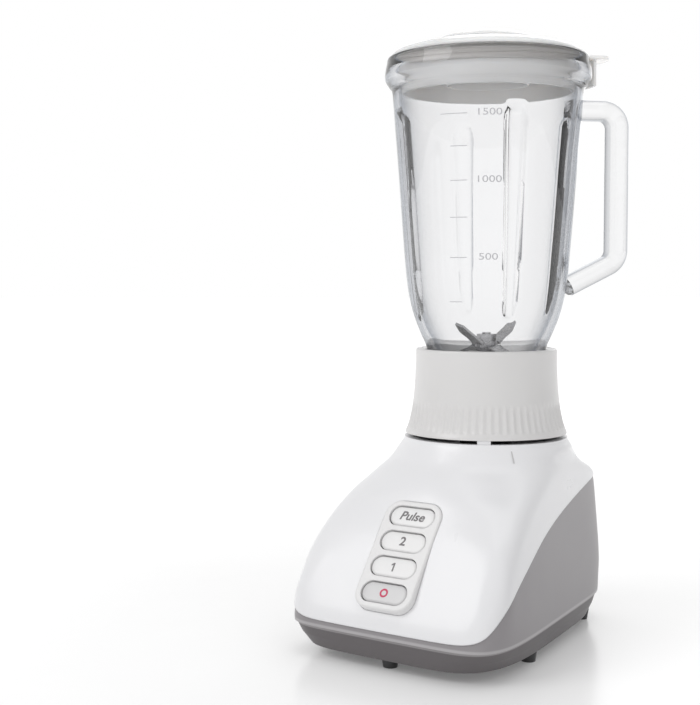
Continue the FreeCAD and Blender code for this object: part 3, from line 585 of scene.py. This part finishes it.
# ---------------------------------------------------------------- lid
class BLENDER_OT_lid(bpy.types.Operator):
    """Make the lid, its soft ring and the filler cap"""
    bl_idname = "kitchen.lid"
    bl_label = "Lid and filler cap"

    def execute(self, context):
        white = milky(moulded("lid_white", (0.86, 0.85, 0.835), 0.24, 0.01, 0.3, rounding=0.0008), 0.9)
        grey = moulded("ring_silicone", (0.68, 0.66, 0.64), 0.5, 0.05)
        dress(["lid"], white)
        soft = smooth([(60.6, 386), (61.2, 386.2), (62.1, 386.9), (61.4, 387.7), (61.2, 388.6), (61.6, 389.3),
                       (62.7, 389.9), (61.7, 390.7), (61.4, 391.6), (61.8, 392.3), (63.1, 393.0),
                       (62.6, 393.8),
                       (61.2, 394.2), (60.6, 394.2)], 70)
        ring = lathe("lid_ring", soft, 160, grey, 60.0)
        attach(ring, "lid_top")
        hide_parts("lid_gasket")
        crown = smooth([(38.0, 406.6), (37.6, 407.3), (36.2, 408.0), (31.0, 410.2), (22.0, 412.8),
                        (12.0, 414.6),
                        (5.0, 415.1)], 44)
        under = np.array([(0, 410.9), (2, 410.7), (27.4, 405.0), (27.4, 378.2), (27.8, 378.0), (29.4, 379.6),
                          (29.6, 380.2), (29.6, 406.2), (37.6, 406.2)])
        cap = lathe("measuring_cap", np.vstack([under, crown, [(0, 415.2)]]), 160, white, 40.0, closed=False)
        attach(cap, "cap")
        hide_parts("filler_cap")
        return {"FINISHED"}


# ---------------------------------------------------------------- base
class BLENDER_OT_base(bpy.types.Operator):
    """Finish the motor base's housing, pan and feet"""
    bl_idname = "kitchen.base"
    bl_label = "Motor base"

    def execute(self, context):
        settings = context.scene.kitchen_blender
        dress(["hood"], moulded("housing_white", settings.housing_colour, 0.3, 0.008, 0.3,
                                rounding=0.0009, spread=0.01))
        # The side panels are paler below one height and the pan paler above another: painted highlights along
        # the edges where they meet.
        dress(["side_skirt"], painted_edge_highlight("side_grey", settings.side_colour, (0.42, 0.405, 0.415),
                                    0.0232, 0.0224, 0.36, 0.06, 0.1, 0.0006))
        dress(["bottom_pan"], painted_edge_highlight("pan_grey", settings.pan_colour, (0.3, 0.285, 0.29),
                                    0.0192, 0.0198, 0.42, 0.08, 0.0, 0.0008))
        dress(["rubber_feet"], moulded("foot_rubber", (0.03, 0.03, 0.032), 0.3, 0.1, 0.2, rounding=0.001))
        dress(["base_screws", "motor_bolts"], metal("zinc_plate", (0.62, 0.62, 0.64), 0.34))
        dress(["cord_gland"], moulded("inlet_rubber", (0.2, 0.19, 0.195), 0.55, 0.15))
        # The lock tick: a pale line on the hood beside the jug ring, a painted highlight where the lock notch
        # catches the light.
        line = smooth([(56.6, 133.6), (58.4, 131.3), (60.2, 129.2), (62.0, 127.0), (63.6, 124.8)], 16)
        angle = math.radians(47.0) + np.array([-0.45, 0.45])[:, None] / line[None, :, 0]
        reach = line[None, :, 0] + 0.32
        tick = np.stack([reach * np.sin(angle), -reach * np.cos(angle), line[None, :, 1] + 0 * angle], -1)
        faces = [face[::-1] for face in grid_faces(2, 16, close_columns=False)]
        mark = make_object("lock_notch_highlight", tick.reshape(-1, 3), faces, ink("tick_highlight_paint", (0.6, 0.59, 0.595)))
        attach(mark, "base")
        return {"FINISHED"}


BUTTONS = {"pulse_button": ("pulse_key", 1.5), "speed_two_button": ("speed_two_key", 0.5),
           "speed_one_button": ("speed_one_key", -0.5), "off_button": ("off_key", -1.5)}
BUTTON_STEPS = [(1.6, -11.8), (1.6, -8.2), (0.4, -7.8), (0.0, -7.0), (0.0, -2.2), (0.12, -1.5), (0.5, -0.95),
                (1.1, -0.62), (2.0, -0.5), (4.0, -0.42), (6.0, -0.4)]


class BLENDER_OT_buttons(bpy.types.Operator):
    """Make the button panel's finish, the four buttons and their legends"""
    bl_idname = "kitchen.buttons"
    bl_label = "Buttons"

    def execute(self, context):
        settings = context.scene.kitchen_blender
        dress(["button_panel"], moulded("panel_satin", (0.78, 0.775, 0.775), 0.3, 0.04, 0.2, rounding=0.0005))
        satin = moulded("button_satin", (0.82, 0.815, 0.815), 0.3, 0.04, 0.2)
        paint = ink("legend_ink", settings.legend_colour)
        off_paint = ink("off_ink", settings.off_colour)
        grey = moulded("off_button_satin", (0.66, 0.655, 0.66), 0.3, 0.04, 0.2)
        outline, normal = rounded_outline(33.4, 13.7, 6.8, 96)
        for node, (body, place_up) in BUTTONS.items():
            middle = place_up * BUTTON_PITCH
            key = pillow(node + "_cap", outline, normal, BUTTON_STEPS,
                         grey if node == "off_button" else satin, middle)
            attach(key, body)
            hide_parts(node)
            legend = self.legend(node, middle, paint, off_paint)
            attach(legend, body)
        return {"FINISHED"}

    def legend(self, node, middle, paint, off_paint):
        """Letters, or a ring for the off button, laid just over the button's face."""
        if node == "off_button":
            a = np.linspace(0, 2 * np.pi, 48, endpoint=False)
            reach = np.array([1.7, 3.0])[:, None]
            rings = np.stack([reach * np.cos(a), reach * np.sin(a), np.full((2, 48), -0.34)], -1)
            faces = [face[::-1] for face in grid_faces(2, 48)]
            return make_object(node + "_mark", on_panel(rings.reshape(-1, 3), middle), faces, off_paint)
        if node == "speed_one_button":
            figure = np.array([(-2.0, 1.7), (-1.7, 0.9), (-0.5, 1.5), (-0.5, -3.0), (0.6, -3.0),
                               (0.6, 3.0), (-0.3, 3.0)])
            flat = np.concatenate([figure, np.full((7, 1), -0.34)], 1)
            return make_object(node + "_mark", on_panel(flat, middle), [list(range(7))], paint)
        text, size, slant = {"pulse_button": ("Pulse", 8.4, 0.25), "speed_two_button": ("2", 8.4, 0.0)}[node]
        flat, faces = lettering(node, text, size, slant, 0.024)
        flat = flat * [1.05, 1.0, 1.0] + [0, 0, -0.34]
        return make_object(node + "_mark", on_panel(flat, middle), faces, paint)


class BLENDER_OT_works(bpy.types.Operator):
    """Finish the blades, the couplings and the motor"""
    bl_idname = "kitchen.works"
    bl_label = "Blades and motor"

    def execute(self, context):
        dress(["lower_blade", "upper_blade"],
              metal("blade_steel", (0.50, 0.50, 0.51), 0.24, (1, 1, 8), 0.12, 500.0))
        dress(["blade_shaft", "blade_washer", "blade_nut", "motor_shaft"],
              metal("ground_steel", (0.48, 0.48, 0.49), 0.22, (1, 1, 30), 0.1, 400.0))
        dress(["blade_carrier"], moulded("carrier_grey", (0.6, 0.59, 0.585), 0.4, 0.1, rounding=0.0005))
        dress(["drive_coupling", "jug_coupling", "shaft_seal", "blade_seal", "motor_mounts"],
              moulded("drive_rubber", (0.035, 0.035, 0.037), 0.5, 0.2, rounding=0.0005))
        dress(["jug_gasket"], moulded("pale_rubber", (0.6, 0.59, 0.57), 0.55, 0.1))
        dress(["upper_bearing", "lower_bearing", "blade_bushing", "brush_holders"],
              metal("sintered_bronze", (0.55, 0.37, 0.2), 0.42, (1, 1, 1), 0.3, 900.0))
        dress(["motor_upper_bracket", "motor_lower_bracket"],
              metal("cast_aluminium", (0.6, 0.6, 0.61), 0.5, (1, 1, 1), 0.35, 700.0))
        dress(["motor_stator", "rotor_core"],
              banded("steel_laminations", (0.2, 0.2, 0.21), (0.42, 0.42, 0.44), 420.0, "Z", 1.0, 0.45))
        dress(["field_windings", "rotor_windings"],
              banded("enamelled_wire", (0.36, 0.12, 0.04), (0.72, 0.33, 0.16), 300.0, "Y", 0.8, 0.32))
        dress(["commutator"], metal("commutator_copper", (0.72, 0.42, 0.27), 0.3))
        dress(["carbon_brushes"], moulded("carbon", (0.03, 0.03, 0.03), 0.6, 0.3))
        dress(["cooling_fan", "switch_block", "thermal_cutout", "terminal_block"],
              moulded("inner_black", (0.045, 0.045, 0.048), 0.5, 0.15))
        return {"FINISHED"}


# ---------------------------------------------------------------- stage
FLOOR_RINGS = (400.0, 900.0, 2000.0, 6000.0, 14000.0)
# Each light: its place and target in metres, its size and its power in watts.
LIGHTS = (("key", (-0.9, -1.5, 1.5), (0, 0, 0.2), 1.2, 11.5),
          ("top", (0.1, 0.1, 1.9), (0, 0, 0.2), 1.4, 5.0),
          ("back", (-0.4, 1.6, 1.0), (0, 0, 0.25), 1.2, 3.0))
FOCAL_RATIO = 1330.0 / 705.0    # focal length over the frame's longer side
SENSOR = 36.0
VIEW_TURN, VIEW_DIP = 36.0, 3.292


def area_light(name, place_at, target, size, power):
    """A soft square light that faces its target."""
    light = bpy.data.lights.new(name, "AREA")
    light.shape = "SQUARE"
    light.size = size
    light.energy = power
    holder = bpy.data.objects.new(name, light)
    holder.location = place_at
    aim = np.array(target) - np.array(place_at)
    aim = aim / np.linalg.norm(aim)
    holder.rotation_euler = (math.acos(-aim[2]), 0.0, math.atan2(-aim[0], aim[1]))
    holder.visible_camera = False
    holder.visible_transmission = False
    bpy.context.scene.collection.objects.link(holder)
    return holder


def studio_world():
    """An even white surround for direct sight; its glow is brighter above and behind, dimmer at the sides."""
    world = bpy.data.worlds.new("studio")
    world.use_nodes = True
    nodes, links = world.node_tree.nodes, world.node_tree.links
    glow = nodes["Background"]
    where = nodes.new("ShaderNodeTexCoord")
    split = nodes.new("ShaderNodeSeparateXYZ")
    links.new(where.outputs["Generated"], split.inputs["Vector"])
    dot = nodes.new("ShaderNodeVectorMath")
    dot.operation = "DOT_PRODUCT"
    dot.inputs[1].default_value = (-math.sin(math.radians(VIEW_TURN)), math.cos(math.radians(VIEW_TURN)), 0.0)
    links.new(where.outputs["Generated"], dot.inputs[0])
    spread = nodes.new("ShaderNodeMath")
    spread.operation = "ABSOLUTE"
    links.new(dot.outputs["Value"], spread.inputs[0])
    ramp = nodes.new("ShaderNodeValToRGB")
    ramp.color_ramp.elements[0].position = 0.12
    ramp.color_ramp.elements[0].color = (0.27, 0.265, 0.27, 1)
    ramp.color_ramp.elements[1].position = 0.75
    ramp.color_ramp.elements[1].color = (1, 1, 1, 1)
    links.new(spread.outputs[0], ramp.inputs["Fac"])
    above = nodes.new("ShaderNodeMapRange")
    above.inputs["From Min"].default_value = 0.15
    above.inputs["From Max"].default_value = 0.85
    links.new(split.outputs["Z"], above.inputs["Value"])
    lift = nodes.new("ShaderNodeMix")
    lift.data_type = "RGBA"
    lift.inputs["B"].default_value = (0.66, 0.66, 0.66, 1)
    links.new(above.outputs["Result"], lift.inputs["Factor"])
    links.new(ramp.outputs["Color"], lift.inputs["A"])
    links.new(lift.outputs["Result"], glow.inputs["Color"])
    glow.inputs["Strength"].default_value = 0.96
    plain = nodes.new("ShaderNodeBackground")
    plain.inputs["Color"].default_value = (1, 1, 1, 1)
    plain.inputs["Strength"].default_value = 1.0
    path = nodes.new("ShaderNodeLightPath")
    mix = nodes.new("ShaderNodeMixShader")
    links.new(path.outputs["Is Camera Ray"], mix.inputs["Fac"])
    links.new(glow.outputs["Background"], mix.inputs[1])
    links.new(plain.outputs["Background"], mix.inputs[2])
    links.new(mix.outputs["Shader"], nodes["World Output"].inputs["Surface"])
    bpy.context.scene.world = world


def floor_material(colour):
    """Pale smooth board that shows a faint reflection near the object and fades to white further off."""
    material, nodes, links, shader = tree_of("floor_board")
    shader.inputs["Base Color"].default_value = (*colour, 1)
    links.new(ranged(nodes, links, noise(nodes, links, 8.0, 2.0), 0.2, 0.26), shader.inputs["Roughness"])
    where = nodes.new("ShaderNodeTexCoord")
    length = nodes.new("ShaderNodeVectorMath")
    length.operation = "LENGTH"
    links.new(where.outputs["Object"], length.inputs[0])
    far = nodes.new("ShaderNodeMapRange")
    far.inputs["From Min"].default_value = 0.25
    far.inputs["From Max"].default_value = 2.2
    far.inputs["To Min"].default_value = 0.12
    far.inputs["To Max"].default_value = 0.5
    links.new(length.outputs["Value"], far.inputs["Value"])
    shader.inputs["Emission Color"].default_value = (1, 1, 1, 1)
    links.new(far.outputs["Result"], shader.inputs["Emission Strength"])
    sheen = nodes.new("ShaderNodeMapRange")
    sheen.inputs["From Min"].default_value = 0.25
    sheen.inputs["From Max"].default_value = 1.2
    sheen.inputs["To Min"].default_value = 0.5
    sheen.inputs["To Max"].default_value = 0.0
    links.new(length.outputs["Value"], sheen.inputs["Value"])
    links.new(sheen.outputs["Result"], shader.inputs["Specular IOR Level"])
    return material


class BLENDER_OT_stage(bpy.types.Operator):
    """Make the floor, the lights and the camera"""
    bl_idname = "kitchen.stage"
    bl_label = "Stage"

    def execute(self, context):
        settings = context.scene.kitchen_blender
        r = np.array(FLOOR_RINGS)[:, None]
        a = np.linspace(0, 2 * np.pi, 96, endpoint=False)[None, :]
        points = np.stack([r * np.cos(a), r * np.sin(a), 0 * r * a], -1).reshape(-1, 3)
        points = np.vstack([points, [0, 0, 0]])
        c = np.arange(96)
        faces = grid_faces(5, 96) + np.stack([c, (c + 1) % 96, 0 * c + 5 * 96], -1).tolist()
        faces = [face[::-1] for face in faces[:4 * 96]] + faces[4 * 96:]
        floor = make_object("floor", points, faces, floor_material(settings.floor_colour))
        floor.visible_transmission = False
        studio_world()
        for light in LIGHTS:
            area_light(*light)
        camera = bpy.data.cameras.new("camera")
        camera.lens = FOCAL_RATIO * SENSOR
        camera.clip_end = 60.0
        holder = bpy.data.objects.new("camera", camera)
        holder.location = (0.46708, -0.80428 + AXIS_Y / 1000, 0.247)
        holder.rotation_euler = (math.radians(90 - VIEW_DIP), 0.0, math.radians(VIEW_TURN))
        bpy.context.scene.collection.objects.link(holder)
        bpy.context.scene.camera = holder
        bpy.context.scene.view_settings.view_transform = "Standard"
        return {"FINISHED"}


class BLENDER_PT_kitchen(bpy.types.Panel):
    """The sidebar list of the pieces"""
    bl_idname = "BLENDER_PT_kitchen"
    bl_label = "Countertop blender"
    bl_space_type = "VIEW_3D"
    bl_region_type = "UI"
    bl_category = "Blender"

    def draw(self, context):
        settings = context.scene.kitchen_blender
        for prop in settings.bl_rna.properties:
            if prop.identifier not in ("rna_type", "name"):
                self.layout.prop(settings, prop.identifier)
        for operator in STEPS:
            self.layout.operator(operator.bl_idname)


STEPS = (BLENDER_OT_base, BLENDER_OT_buttons, BLENDER_OT_screw_collar, BLENDER_OT_glass_jug,
         BLENDER_OT_volume_marks, BLENDER_OT_lid, BLENDER_OT_works, BLENDER_OT_stage)
CLASSES = (KitchenBlenderSettings, *STEPS, BLENDER_PT_kitchen)


def register():
    for item in CLASSES:
        bpy.utils.register_class(item)
    bpy.types.Scene.kitchen_blender = PointerProperty(type=KitchenBlenderSettings)


def unregister():
    del bpy.types.Scene.kitchen_blender
    for item in reversed(CLASSES):
        bpy.utils.unregister_class(item)


def main():
    """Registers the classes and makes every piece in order."""
    register()
    for step in STEPS:
        group, action = step.bl_idname.split(".")
        getattr(getattr(bpy.ops, group), action)()


if __name__ == "__main__":
    main()
